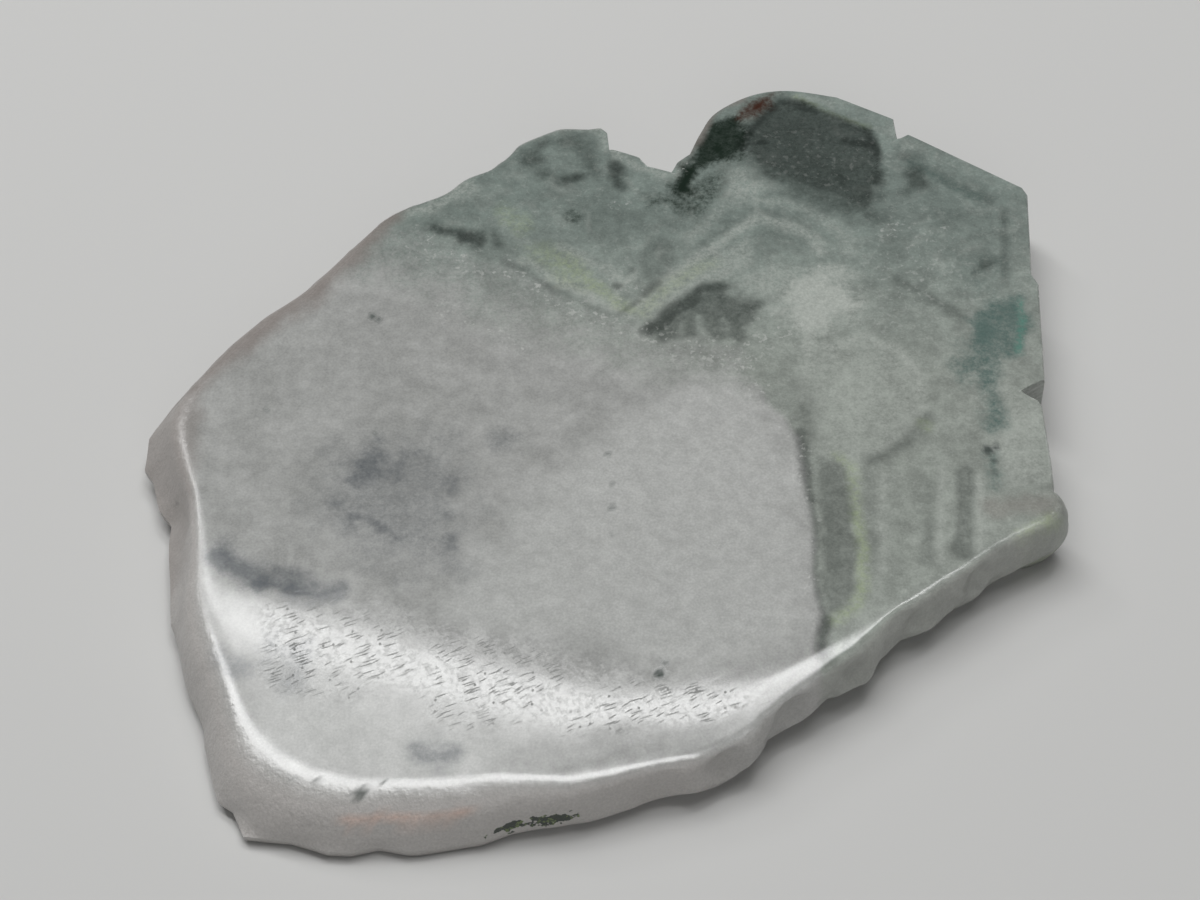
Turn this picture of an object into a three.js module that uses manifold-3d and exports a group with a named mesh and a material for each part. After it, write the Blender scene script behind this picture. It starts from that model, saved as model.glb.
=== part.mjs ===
// A polished slice of ajoite quartz: parallel quartz crystals grown together, sawn across their length and
// polished on top. It lies flat on its sawn underside. Millimetres, +Z up, origin in the middle of the
// underside.
import * as THREE from 'three';
import { LoftGeometry } from 'three/addons/geometries/LoftGeometry.js';
import { mergeVertices } from 'three/addons/utils/BufferGeometryUtils.js';
import Module from 'manifold-3d';

// Driving dimensions.
const THICKNESS = 6.5;
const OUTLINE_STEP = 1.9; // longest side of the faceted outline
const EDGE_BLEND = 5; // length along the outline over which one kind of edge passes into the next
const HUB = new THREE.Vector2(1.7, -2); // every ring shrinks towards this point
const STEEPEST_INSET = 0.55; // an inset grows where the outline runs askew to the hub, up to 1 / this
const TOP_RINGS = [0.95, 0.89, 0.82, 0.74, 0.64, 0.5, 0.32]; // size of the rings on the polished top
const BELLY = 0.65; // share of the way out from foot to widest line that the wall has made by half height
const WALL_BULGE = 0.6; // share of the way up from widest line to shoulder made by half of the way in
const ROLL_STEPS = [1, 0.84, 0.6, 0.3]; // rings of the rounded edge, from the shoulder (1) towards the rim
const GENTLE = 0.3; // share of the rounding's drop that comes evenly; the rest comes close to the shoulder
const PIT_SIDES = 10;
const PIT_TURN = 0.3; // radians, so that no two pits' facets line up with the top

// Kinds of edge. foot: how far the underside stops short of the outline. girth: height of the widest line.
// shoulder: how far in, and how far below the polish, the wall ends. rim: how far in the polished top starts.
// wear: the length along the outline over which polishing has evened out the rim.
const PRISM_FACE = { foot: 0.15, girth: 3.2, shoulder: 0.05, shoulderDrop: 0.3, rim: 0.45, wear: 0 };
const BROKEN_LOBE = { foot: 1.4, girth: 4.0, shoulder: 0.3, shoulderDrop: 1.0, rim: 1.9, wear: 2 };
const SNAPPED_BACK = { foot: 0.8, girth: 4.2, shoulder: 0.3, shoulderDrop: 0.9, rim: 1.4, wear: 2 };
const BROWN_BEVEL = { foot: 0.8, girth: 3.6, shoulder: 1.2, shoulderDrop: 1.0, rim: 3.6, wear: 7 };
const LEFT_BEVEL = { foot: 0.6, girth: 2.2, shoulder: 2.0, shoulderDrop: 1.1, rim: 3.9, wear: 9 };
const LEFT_SLOPE = { foot: 0.5, girth: 1.4, shoulder: 0.5, shoulderDrop: 2.3, rim: 4.2, wear: 10 };
const FRONT_SLOPE = { foot: 0.3, girth: 1.0, shoulder: 0.4, shoulderDrop: 2.4, rim: 4.7, wear: 11 };
const FRONT_WALL = { foot: 0.9, girth: 1.5, shoulder: 0.3, shoulderDrop: 1.2, rim: 1.9, wear: 9 };
const UNDERCUT = { foot: 2.1, girth: 2.8, shoulder: 0.3, shoulderDrop: 1.0, rim: 1.7, wear: 7 };

// The outline from above, anticlockwise from the right-hand tip. A straight stretch has flat crystal faces
// and sharp breaks from point to point, and the others run in a curve through their points.
const STRETCHES = [
  { edge: BROKEN_LOBE, points: [[39.2, -11.3], [39.5, -10.0], [39.0, -8.8]] },
  {
    edge: PRISM_FACE, straight: true,
    points: [
      [38.4, -8.3], [38.2, 1.0], [37.9, 1.7], [36.6, 2.7], [38.7, 4.0], [39.3, 15.5], [38.8, 16.7],
      [39.4, 26.8], [39.0, 27.7], [29.0, 34.8], [27.9, 34.2], [27.7, 36.9], [22.5, 39.9],
    ],
  },
  {
    edge: PRISM_FACE,
    points: [[18.0, 40.8], [14.4, 40.2], [11.0, 37.9], [9.5, 35.2], [8.4, 32.3]],
  },
  {
    edge: PRISM_FACE, straight: true,
    points: [[7.2, 31.2], [6.6, 29.8], [4.4, 30.6], [3.6, 31.8], [0.8, 33.0], [0.6, 35.7], [0.0, 36.3]],
  },
  { edge: SNAPPED_BACK, straight: true, points: [[-1.2, 36.0], [-3.9, 36.3], [-7.8, 34.1]] },
  {
    edge: SNAPPED_BACK,
    points: [[-10.4, 30.8], [-12.8, 29.4], [-14.8, 27.3], [-18.6, 25.4], [-22.4, 22.5]],
  },
  { edge: BROWN_BEVEL, points: [[-26.2, 18.0], [-26.8, 16.6], [-32.2, 11.4], [-35.5, 6.5], [-39.3, 0.2]] },
  {
    edge: LEFT_BEVEL, straight: true,
    points: [[-39.5, -2.8], [-38.7, -4.0], [-37.8, -7.3], [-36.6, -8.9]],
  },
  { edge: LEFT_BEVEL, points: [[-36.5, -12.3], [-35.7, -19.2]] },
  {
    edge: LEFT_SLOPE,
    points: [[-35.0, -21.0], [-34.1, -24.8], [-32.2, -29.2], [-31.9, -31.0], [-30.4, -36.2]],
  },
  {
    edge: FRONT_SLOPE, straight: true,
    points: [[-29.2, -37.0], [-28.1, -39.2], [-24.5, -39.6], [-21.6, -40.7], [-19.8, -40.8], [-17.5, -40.3]],
  },
  { edge: FRONT_SLOPE, points: [[-14.2, -40.6], [-10.0, -39.9], [-7.0, -39.1]] },
  { edge: FRONT_WALL, points: [[-1.0, -38.0], [3.9, -36.3], [7.3, -35.9]] },
  { edge: UNDERCUT, points: [[9.8, -35.3], [12.3, -33.5], [13.5, -31.4]] },
  { edge: UNDERCUT, points: [[17.0, -29.1], [18.6, -27.3]] },
  { edge: UNDERCUT, points: [[20.4, -26.5], [22.1, -25.1], [23.3, -23.3], [25.2, -21.1]] },
  {
    edge: UNDERCUT,
    points: [[27.3, -20.1], [29.1, -18.3], [31.1, -17.3], [34.5, -14.3], [38.1, -12.4]],
  },
];

// Polishing leans the top down beyond two fold lines, gently at the front left and more along the front
// right. Each lean is a line through two points, its slope in degrees and the width over which it rounds off.
const LEANS = [
  { from: [-31.3, -21.2], to: [3.2, -32.1], slope: 7, rounding: 6 },
  { from: [3.2, -32.1], to: [36.1, -14.1], slope: 13, rounding: 2 },
];

// Conchoidal chips knocked out of the front right wall: at each place a ball of this radius bites this deep.
const CHIPS = [
  { at: [10.9, -34.4], height: 5.0, radius: 5.5, bite: 0.9 },
  { at: [16.0, -29.8], height: 5.0, radius: 4.5, bite: 0.9 },
  { at: [20.9, -26.2], height: 5.0, radius: 4.0, bite: 0.7 },
  { at: [25.9, -21.0], height: 5.0, radius: 3.6, bite: 0.6 },
  { at: [30.6, -17.8], height: 5.0, radius: 4.2, bite: 0.6 },
];

// Natural pits where crystal dust fell out of the polished top and the front slope.
const PITS = [
  { at: [4.8, -27.2], radius: 0.8, depth: 0.5 },
  { at: [33.4, -4.7], radius: 0.7, depth: 0.45 },
  { at: [-18.6, -37.3], radius: 0.9, depth: 0.6 },
];

// Points along one stretch after the point `start`, with every listed point kept.
function stretchPoints(start, stretch) {
  const corners = [start, ...stretch.points.map((p) => new THREE.Vector2(...p))];
  const curve = new THREE.SplineCurve(corners);
  const sampled = [];
  for (let leg = 0; leg < corners.length - 1; leg++) {
    const steps = Math.ceil(corners[leg].distanceTo(corners[leg + 1]) / OUTLINE_STEP);
    for (let step = 1; step <= steps; step++) {
      const along = step / steps;
      sampled.push(
        stretch.straight
          ? corners[leg].clone().lerp(corners[leg + 1], along)
          : curve.getPoint((leg + along) / (corners.length - 1)),
      );
    }
  }
  return sampled;
}

// The whole outline as places: a point, its distances along the outline, from the last place and from the
// hub, and the kind of edge there.
function outlinePlaces() {
  const places = [];
  let start = new THREE.Vector2(...STRETCHES.at(-1).points.at(-1));
  let along = 0;
  for (const stretch of STRETCHES) {
    for (const point of stretchPoints(start, stretch)) {
      const stride = point.distanceTo(start);
      start = point;
      along += stride;
      places.push({ point, along, stride, radius: point.distanceTo(HUB), edge: stretch.edge });
    }
  }
  return { places, length: along };
}

// The average of a value over the places within `reach` along the outline, nearer ones counting for more.
function evened(place, outline, reach, value) {
  let sum = 0;
  let weights = 0;
  for (const other of outline.places) {
    const apart = Math.abs(other.along - place.along);
    const weight = 1 - Math.min(apart, outline.length - apart) / reach;
    if (weight <= 0) continue;
    weights += weight * other.stride;
    sum += weight * other.stride * value(other);
  }
  return weights > 0 ? sum / weights : value(place);
}

// The sizes of the edge at a place, with one kind passing into the next over EDGE_BLEND.
function blendedEdge(place, outline) {
  const blended = {};
  for (const size in PRISM_FACE) {
    blended[size] = evened(place, outline, EDGE_BLEND / 2, (other) => other.edge[size]);
  }
  return blended;
}

// Height of the polished top: the full thickness less each lean, which starts softly at its fold line.
function topHeight(x, y) {
  let height = THICKNESS;
  for (const { from, to, slope, rounding } of LEANS) {
    const run = new THREE.Vector2(to[0] - from[0], to[1] - from[1]).normalize();
    const beyond = (x - from[0]) * run.y - (y - from[1]) * run.x;
    const lean = (beyond + Math.hypot(beyond, rounding)) / 2;
    height -= Math.tan(THREE.MathUtils.degToRad(slope)) * lean;
  }
  return height;
}

// A point pushed towards the hub until it is clear of every chip's ball.
function chipped(point, balls) {
  for (const { centre, radius } of balls) {
    const offset = point.clone().sub(centre);
    if (offset.length() >= radius) continue;
    const inward = new THREE.Vector3(HUB.x - point.x, HUB.y - point.y, 0).normalize();
    const along = offset.dot(inward);
    const push = -along + Math.sqrt(along ** 2 - offset.lengthSq() + radius ** 2);
    point.addScaledVector(inward, push);
  }
  return point;
}

// One closed ring per level, from the middle of the underside out to the foot, up the wall and over the rim
// to the middle of the top.
function sliceRings() {
  const outline = outlinePlaces();
  const { places } = outline;
  const balls = CHIPS.map(({ at, height, radius, bite }) => {
    const outward = new THREE.Vector2(...at).sub(HUB).normalize();
    const centre = new THREE.Vector2(...at).addScaledVector(outward, radius - bite);
    return { centre: new THREE.Vector3(centre.x, centre.y, height), radius };
  });
  const columns = places.map((place, i) => {
    const edge = blendedEdge(place, outline);
    const wornRadius = evened(place, outline, edge.wear, (other) => other.radius);
    const before = places.at(i - 1).point;
    const after = places[(i + 1) % places.length].point;
    const tangent = after.clone().sub(before).normalize();
    const outward = place.point.clone().sub(HUB).normalize();
    const askew = Math.max(tangent.y * outward.x - tangent.x * outward.y, STEEPEST_INSET);
    const inset = (amount, radius) => HUB.clone().addScaledVector(outward, radius - amount / askew);
    const shoulderRadius = Math.min((place.radius + wornRadius) / 2, place.radius + edge.shoulder / 2);
    const rimRadius = Math.min(wornRadius, shoulderRadius + (edge.rim - edge.shoulder) / 2);
    const foot = inset(edge.foot, place.radius);
    const shoulder = inset(edge.shoulder, shoulderRadius);
    const rim = inset(edge.rim, rimRadius);
    const roll = ROLL_STEPS.map((out) => {
      const p = rim.clone().lerp(shoulder, out);
      const drop = edge.shoulderDrop * (GENTLE * out ** 2 + (1 - GENTLE) * out ** 5);
      return [p, topHeight(p.x, p.y) - drop];
    });
    const levels = [
      [HUB, 0],
      [foot, 0],
      [foot.clone().lerp(place.point, BELLY), edge.girth / 2],
      [place.point, edge.girth],
      [place.point.clone().lerp(shoulder, 0.5), edge.girth + (roll[0][1] - edge.girth) * WALL_BULGE],
      ...roll,
    ];
    const column = levels.map(([p, z]) => chipped(new THREE.Vector3(p.x, p.y, z), balls));
    for (const size of [1, ...TOP_RINGS, 0]) {
      const p = HUB.clone().lerp(rim, size);
      column.push(new THREE.Vector3(p.x, p.y, topHeight(p.x, p.y)));
    }
    return column;
  });
  return columns[0].map((_, level) => columns.map((column) => column[level]));
}

// A closed geometry as a solid that can be cut, without the triangles that collapse at the ends of a loft.
function solidOf(geometry, wasm) {
  const bare = new THREE.BufferGeometry().setIndex(geometry.index);
  bare.setAttribute('position', geometry.attributes.position);
  const merged = mergeVertices(bare);
  const corners = merged.index.array;
  const kept = [];
  for (let i = 0; i < corners.length; i += 3) {
    const [a, b, c] = corners.slice(i, i + 3);
    if (a !== b && b !== c && c !== a) kept.push(a, b, c);
  }
  const vertProperties = merged.attributes.position.array;
  const triVerts = new Uint32Array(kept);
  return new wasm.Manifold(new wasm.Mesh({ numProp: 3, vertProperties, triVerts }));
}

// A solid back as a geometry.
function geometryOf(solid) {
  const { vertProperties, triVerts } = solid.getMesh();
  const geometry = new THREE.BufferGeometry();
  geometry.setAttribute('position', new THREE.BufferAttribute(vertProperties, 3));
  geometry.setIndex(new THREE.BufferAttribute(triVerts, 1));
  geometry.computeVertexNormals();
  return geometry;
}

// The slice with its pits cut out, moved so that its footprint's middle is the origin.
async function sliceGeometry() {
  const wasm = await Module();
  wasm.setup();
  let slice = solidOf(new LoftGeometry(sliceRings()), wasm);
  for (const { at, radius, depth } of PITS) {
    const ball = new THREE.SphereGeometry(radius, PIT_SIDES, PIT_SIDES / 2);
    ball.rotateX(Math.PI / 2 + PIT_TURN);
    ball.translate(at[0], at[1], topHeight(...at) + radius - depth);
    slice = slice.subtract(solidOf(ball, wasm));
  }
  const geometry = geometryOf(slice);
  geometry.computeBoundingBox();
  const middle = geometry.boundingBox.getCenter(new THREE.Vector3());
  return geometry.translate(-middle.x, -middle.y, 0);
}

const milkyQuartz = new THREE.MeshStandardMaterial({ color: 0xa5a6a4, roughness: 0.25, metalness: 0 });
const quartzSlice = new THREE.Mesh(await sliceGeometry(), milkyQuartz);
quartzSlice.name = 'quartz_slice';

const ajoiteQuartzSlice = new THREE.Group();
ajoiteQuartzSlice.add(quartzSlice);

export default ajoiteQuartzSlice;
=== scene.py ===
import math

import bpy
import numpy as np
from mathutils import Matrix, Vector


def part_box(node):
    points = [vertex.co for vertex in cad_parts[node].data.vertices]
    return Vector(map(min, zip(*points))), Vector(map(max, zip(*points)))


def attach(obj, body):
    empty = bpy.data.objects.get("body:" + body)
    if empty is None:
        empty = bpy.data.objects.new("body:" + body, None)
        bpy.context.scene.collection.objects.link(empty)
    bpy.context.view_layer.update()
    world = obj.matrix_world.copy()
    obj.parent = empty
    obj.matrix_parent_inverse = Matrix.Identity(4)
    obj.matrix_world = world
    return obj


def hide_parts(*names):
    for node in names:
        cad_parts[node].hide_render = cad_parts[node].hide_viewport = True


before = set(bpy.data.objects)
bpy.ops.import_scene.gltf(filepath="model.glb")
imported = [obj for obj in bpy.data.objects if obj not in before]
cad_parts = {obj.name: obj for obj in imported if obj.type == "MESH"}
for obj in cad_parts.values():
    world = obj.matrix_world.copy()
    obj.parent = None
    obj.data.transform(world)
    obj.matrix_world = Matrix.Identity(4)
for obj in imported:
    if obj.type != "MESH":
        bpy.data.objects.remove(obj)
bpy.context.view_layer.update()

MM = 0.001


# The slice. Parallel quartz crystals grown into one another, sawn across their length as one plate and
# polished on top. The flat sides at the back are crystal faces as they grew, the rest of the edge is broken
# or ground, and the two flats that lean down at the front are part of the polishing.
thickness = 6.5
hub = np.array([1.7, -2.0])
outline_step = 0.42
edge_blend = 5.0
steepest_inset = 0.55

# Each kind of edge: how far the foot, shoulder and rim stand in from the widest line, how high that line is,
# how far the shoulder is under the polish, over what length the rim is worn smooth, and how deep it is
# chipped.
edge_kinds = {
    "prism": dict(foot=0.15, girth=3.2, shoulder=0.05, drop=0.3, rim=0.45, wear=0.0, broken=0.0),
    "lobe": dict(foot=1.4, girth=4.0, shoulder=0.3, drop=1.0, rim=1.9, wear=2.0, broken=0.3),
    "snapped": dict(foot=0.8, girth=4.2, shoulder=0.3, drop=0.9, rim=1.4, wear=2.0, broken=0.4),
    "brown": dict(foot=0.8, girth=3.6, shoulder=1.2, drop=1.0, rim=3.6, wear=7.0, broken=0.14),
    "left": dict(foot=0.6, girth=2.2, shoulder=2.0, drop=1.1, rim=3.9, wear=9.0, broken=0.14),
    "slope": dict(foot=0.5, girth=1.4, shoulder=0.5, drop=2.3, rim=4.2, wear=10.0, broken=0.2),
    "front": dict(foot=0.3, girth=1.0, shoulder=0.4, drop=2.4, rim=4.7, wear=11.0, broken=0.22),
    "wall": dict(foot=0.9, girth=1.5, shoulder=0.3, drop=1.2, rim=1.9, wear=9.0, broken=0.35),
    "undercut": dict(foot=2.1, girth=2.8, shoulder=0.3, drop=1.0, rim=1.7, wear=7.0, broken=0.5),
}
gentle_share = 0.3

# The outline seen from above, anticlockwise from the right tip. Each stretch starts where the last one ended.
outline = [
    ("lobe", "curve", [(39.2, -11.3), (39.5, -10.0), (39.0, -8.8)]),
    ("prism", "straight", [(38.4, -8.3), (38.2, 1.0), (37.9, 1.7), (36.6, 2.7), (38.7, 4.0), (39.3, 15.5),
                           (38.8, 16.7), (39.4, 26.8), (39.0, 27.7), (29.0, 34.8), (27.9, 34.2),
                           (27.7, 36.9), (22.5, 39.9)]),
    ("prism", "curve", [(18.0, 40.8), (14.4, 40.2), (11.0, 37.9), (9.5, 35.2), (8.4, 32.3)]),
    ("prism", "straight", [(7.2, 31.2), (6.6, 29.8), (4.4, 30.6), (3.6, 31.8), (0.8, 33.0), (0.6, 35.7),
                           (0.0, 36.3)]),
    ("snapped", "straight", [(-1.2, 36.0), (-3.9, 36.3), (-7.8, 34.1)]),
    ("snapped", "curve", [(-10.4, 30.8), (-12.8, 29.4), (-14.8, 27.3), (-18.6, 25.4), (-22.4, 22.5)]),
    ("brown", "curve", [(-26.2, 18.0), (-26.8, 16.6), (-32.2, 11.4), (-35.5, 6.5), (-39.3, 0.2)]),
    ("left", "straight", [(-39.5, -2.8), (-38.7, -4.0), (-37.8, -7.3), (-36.6, -8.9)]),
    ("left", "curve", [(-36.5, -12.3), (-35.7, -19.2)]),
    ("slope", "curve", [(-35.0, -21.0), (-34.1, -24.8), (-32.2, -29.2), (-31.9, -31.0), (-30.4, -36.2)]),
    ("front", "straight", [(-29.2, -37.0), (-28.1, -39.2), (-24.5, -39.6), (-21.6, -40.7), (-19.8, -40.8),
                           (-17.5, -40.3)]),
    ("front", "curve", [(-14.2, -40.6), (-10.0, -39.9), (-7.0, -39.1)]),
    ("wall", "curve", [(-1.0, -38.0), (3.9, -36.3), (7.3, -35.9)]),
    ("undercut", "curve", [(9.8, -35.3), (12.3, -33.5), (13.5, -31.4)]),
    ("undercut", "curve", [(17.0, -29.1), (18.6, -27.3)]),
    ("undercut", "curve", [(20.4, -26.5), (22.1, -25.1), (23.3, -23.3), (25.2, -21.1)]),
    ("undercut", "curve", [(27.3, -20.1), (29.1, -18.3), (31.1, -17.3), (34.5, -14.3), (38.1, -12.4)]),
]
outline_start = outline[-1][2][-1]

# The polished flats that lean down at the front: two points on the line where each starts, its slope in
# degrees and how gently it starts in mm.
leans = [((-31.3, -21.2), (3.2, -32.1), 7.0, 6.0), ((3.2, -32.1), (36.1, -14.1), 13.0, 2.0)]

# Shell-shaped chips out of the front right edge: place on the outline, ball radius and bite.
chips = [((10.9, -34.4), 5.5, 0.9), ((16.0, -29.8), 4.5, 0.9), ((20.9, -26.2), 4.0, 0.7),
         ((25.9, -21.0), 3.6, 0.6), ((30.6, -17.8), 4.2, 0.6)]
chip_height = 5.0

# Pits in the polished top and the front slope: place, radius and depth.
pits = [((4.75, -27.2), 0.7, 0.015), ((33.35, -4.3), 0.8, 0.06), ((-18.65, -37.6), 0.7, 0.1)]

# Rings of the grid on each part of the skin. The top's rings are spread evenly by this share, and the rest of
# the spread crowds them towards the rim.
bottom_rings = 4
foot_rings = 8
wall_rings = 11
roll_rings = 10
top_rings = 104
even_share = 0.72

# The foot bulges out by this power of the way up. The wall's bend stays at least this share above the widest
# line. The shoulder and the rim are at least this far in, in mm, and each is evened out along the outline
# over this share of the edge's wear.
foot_bulge = 1.5
lowest_bend = 0.2
least_shoulder = 0.03
least_rim = 0.3
shoulder_evening = 0.5
rim_evening = 0.6


def ease(low, high, value):
    """Smooth step: 0 below low, 1 above high, and 3t squared less 2t cubed in between."""
    t = np.clip((value - low) / (high - low), 0.0, 1.0)
    return t * t * (3.0 - 2.0 * t)


def cloud(x, y, size, seed, octaves=4):
    """Value noise from 0 to 1: chance heights on a square lattice `size` mm apart joined by smooth steps,
    each further lattice half as coarse and half as strong."""
    cells = 97
    shift = 40.0
    total = np.zeros_like(x)
    weight = 0.0
    for octave in range(octaves):
        heights = np.random.default_rng(seed + octave).random((cells, cells))
        gx = x * 2**octave / size + shift
        gy = y * 2**octave / size + shift
        column = np.floor(gx).astype(int)
        row = np.floor(gy).astype(int)
        fx = ease(0.0, 1.0, gx - column)
        fy = ease(0.0, 1.0, gy - row)
        left, right = column % cells, (column + 1) % cells
        low, high = row % cells, (row + 1) % cells
        near = heights[low, left] * (1 - fx) + heights[low, right] * fx
        far = heights[high, left] * (1 - fx) + heights[high, right] * fx
        total += (near * (1 - fy) + far * fy) * 0.5**octave
        weight += 0.5**octave
    return total / weight


def walk(points, style, step):
    """Points about `step` mm apart along straight runs, or along a Catmull-Rom curve through the points.
    The last point is left out, because the next stretch starts with it."""
    points = np.array(points)
    if style == "straight":
        runs = [np.linspace(a, b, max(1, round(math.dist(a, b) / step)), endpoint=False)
                for a, b in zip(points[:-1], points[1:])]
        return np.concatenate(runs)
    padded = np.concatenate([points[:1], points, points[-1:]])
    steps_per_leg = 60
    t = np.linspace(0.0, 1.0, steps_per_leg, endpoint=False)[:, None]
    fine = []
    for p0, p1, p2, p3 in zip(padded[:-3], padded[1:-2], padded[2:-1], padded[3:]):
        v0 = (p2 - p0) / 2
        v1 = (p3 - p1) / 2
        fine.append((2 * p1 - 2 * p2 + v0 + v1) * t**3 + (3 * p2 - 3 * p1 - 2 * v0 - v1) * t**2 + v0 * t + p1)
    fine = np.concatenate(fine + [points[-1:]])
    along = np.concatenate([[0.0], np.cumsum(np.hypot(*np.diff(fine, axis=0).T))])
    even = np.linspace(0.0, along[-1], max(2, round(along[-1] / step)), endpoint=False)
    return np.stack([np.interp(even, along, fine[:, 0]), np.interp(even, along, fine[:, 1])], axis=1)


# The outline as columns of the grid, each with its kind of edge.
places = []
kinds = []
start = outline_start
for kind, style, points in outline:
    part = walk([start] + points, style, outline_step)
    places.append(part)
    kinds += [list(edge_kinds[kind].values())] * len(part)
    start = points[-1]
places = np.concatenate(places)
kinds = np.array(kinds)
columns = len(places)

stride = np.hypot(*(np.roll(places, -1, axis=0) - places).T)
perimeter = stride.sum()
along = np.concatenate([[0.0], np.cumsum(stride)[:-1]])
share = (stride + np.roll(stride, 1)) / 2
apart = np.abs(along[:, None] - along[None, :])
apart = np.minimum(apart, perimeter - apart)


def blended(values, reach):
    """Average around the outline with weights that fall off evenly to nothing at `reach` mm either way."""
    reach = np.maximum(np.broadcast_to(reach, (columns,)), 1e-3)[:, None]
    weights = np.maximum(0.0, 1.0 - apart / reach) * share[None, :]
    return weights @ values / weights.sum(axis=1).reshape((-1,) + (1,) * (values.ndim - 1))


foot, girth, shoulder, drop, rim, wear, broken = blended(kinds, edge_blend).T
spoke = places - hub
radius = np.hypot(*spoke.T)
outward = spoke / radius[:, None]
tangent = np.roll(places, -1, axis=0) - np.roll(places, 1, axis=0)
tangent /= np.hypot(*tangent.T)[:, None]
askew = np.maximum(tangent[:, 1] * outward[:, 0] - tangent[:, 0] * outward[:, 1], steepest_inset)
even_askew = blended(askew, wear)
foot_radius = radius - foot / askew
even_radius = blended(radius, shoulder_evening * wear)
shoulder_radius = np.minimum(even_radius - shoulder / even_askew, radius - least_shoulder)
worn_rim = blended(blended(radius, wear) - rim / even_askew, rim_evening * wear)
rim_radius = np.minimum(worn_rim, shoulder_radius - least_rim)


def top_height(x, y):
    """Height of the polished top: the thickness, less a slope that starts gently along each leaning line."""
    height = np.full_like(x, thickness)
    for (ax, ay), (bx, by), slope, gentle in leans:
        length = math.dist((ax, ay), (bx, by))
        beyond = ((x - ax) * (by - ay) - (y - ay) * (bx - ax)) / length
        height -= math.tan(math.radians(slope)) * (beyond + np.hypot(beyond, gentle)) / 2
    return height


def slice_grid():
    """The whole skin as rings of columns, from the middle of the underside out to the foot, up the wall and
    over the shoulder, and back across the top to the middle. Each column lies in an upright plane through
    the hub: the foot bulges out to the widest line, the wall is a quadratic curve that leans in and meets
    the shoulder's slope, the shoulder falls away from the polish by the square of the way out from the
    rim and then faster, by its fifth power, and the top follows its own height."""
    def polish(span):
        return top_height(*(hub + outward * span[:, None]).T)

    shoulder_height = polish(shoulder_radius) - drop
    slope = drop * (5 - 3 * gentle_share) / (shoulder_radius - rim_radius)
    bend = (radius - shoulder_radius) / 2
    lowest = girth + lowest_bend * (shoulder_height - girth)
    bend_height = np.maximum(shoulder_height - slope * bend, lowest)
    rings = []
    for part in np.linspace(0.0, 1.0, bottom_rings + 1)[1:]:
        rings.append((foot_radius * part, np.zeros(columns)))
    for part in np.linspace(0.0, 1.0, foot_rings + 1)[1:]:
        rings.append((foot_radius + (radius - foot_radius) * (1 - (1 - part)**foot_bulge), girth * part))
    for part in np.linspace(0.0, 1.0, wall_rings + 1)[1:]:
        near, middle, far = (1 - part)**2, 2 * part * (1 - part), part**2
        rings.append((radius * near + (shoulder_radius + bend) * middle + shoulder_radius * far,
                      girth * near + bend_height * middle + shoulder_height * far))
    for part in np.linspace(0.0, 1.0, roll_rings + 1)[1:]:
        span = shoulder_radius + (rim_radius - shoulder_radius) * part
        fall = gentle_share * (1 - part)**2 + (1 - gentle_share) * (1 - part)**5
        rings.append((span, polish(span) - drop * fall))
    across = np.linspace(0.0, 1.0, top_rings + 1)[1:-1]
    for part in even_share * across + (1 - even_share) * across**2:
        rings.append((rim_radius * (1 - part), polish(rim_radius * (1 - part))))
    return (np.array(values) for values in zip(*rings))


spans, heights = slice_grid()
ring_count = len(spans)
top_from = bottom_rings + foot_rings + wall_rings + roll_rings
xs = hub[0] + outward[:, 0] * spans
ys = hub[1] + outward[:, 1] * spans

# The chips in the front right edge, and small shell-shaped breaks along every broken stretch, push the wall
# in. Chips reach this many rings onto the top.
chip_rings = 6
on_wall = np.arange(ring_count) >= bottom_rings - 1
on_wall &= np.arange(ring_count) < top_from + chip_rings
for (cx, cy), ball, bite in chips:
    away = np.array([cx, cy]) - hub
    away /= np.hypot(*away)
    mx, my = np.array([cx, cy]) + away * (ball - bite)
    gone = ball**2 - (heights - chip_height)**2
    lever = outward[:, 0] * (hub[0] - mx) + outward[:, 1] * (hub[1] - my)
    reach = lever**2 - (hub[0] - mx)**2 - (hub[1] - my)**2 + gone
    near_side = -lever - np.sqrt(np.maximum(reach, 0.0))
    hit = (reach > 0) & (gone > 0) & (near_side > 0) & on_wall[:, None]
    spans = np.where(hit, np.minimum(spans, near_side), spans)

# The small breaks: place along the outline, height, radius and depth, in mm. Each is a flattened bowl.
luck = np.random.default_rng(11)
bites = 420
flattening = 1.4
bite_along = luck.uniform(0.0, perimeter, bites)
bite_height = luck.uniform(-0.3, 6.0, bites)
bite_size = 0.7 + 3.0 * luck.random(bites)**2.2
bite_depth = luck.uniform(0.35, 1.0, bites) * np.minimum(1.0, bite_size / 1.8)
pushed = np.zeros_like(spans)
for place, height, size, depth in zip(bite_along, bite_height, bite_size, bite_depth):
    gap = np.abs(along - place)
    gap = np.minimum(gap, perimeter - gap)
    shape = depth * (1 - (gap[None, :]**2 + flattening * (heights - height)**2) / size**2)
    pushed = np.maximum(pushed, shape)

# A break is weaker on the rounded rim, and is gone a few rings onto the top.
rim_fade = 0.12
faded_rings = 5
fade = np.ones(ring_count)
fade[:bottom_rings - 1] = 0.0
fade[top_from - roll_rings:top_from] = np.linspace(1.0, rim_fade, roll_rings)
fade[top_from:] = rim_fade * np.maximum(0.0, 1 - np.arange(ring_count - top_from) / faded_rings)
spans = spans - pushed * broken * fade[:, None] / askew
xs = hub[0] + outward[:, 0] * spans
ys = hub[1] + outward[:, 1] * spans

# The polish is not quite flat, and pits are sunk into it.
wave_height = 0.014
wave_size = 9.0
on_top = np.clip((np.arange(ring_count) - top_from + 4) / 4, 0.0, 1.0)[:, None]
heights = heights + on_top * wave_height * (cloud(xs, ys, wave_size, 31, 2) - 0.5)
for (px, py), size, depth in pits:
    hollow = np.maximum(0.0, 1 - ((xs - px)**2 + (ys - py)**2) / size**2)
    heights = heights - on_top * depth * hollow

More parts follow.
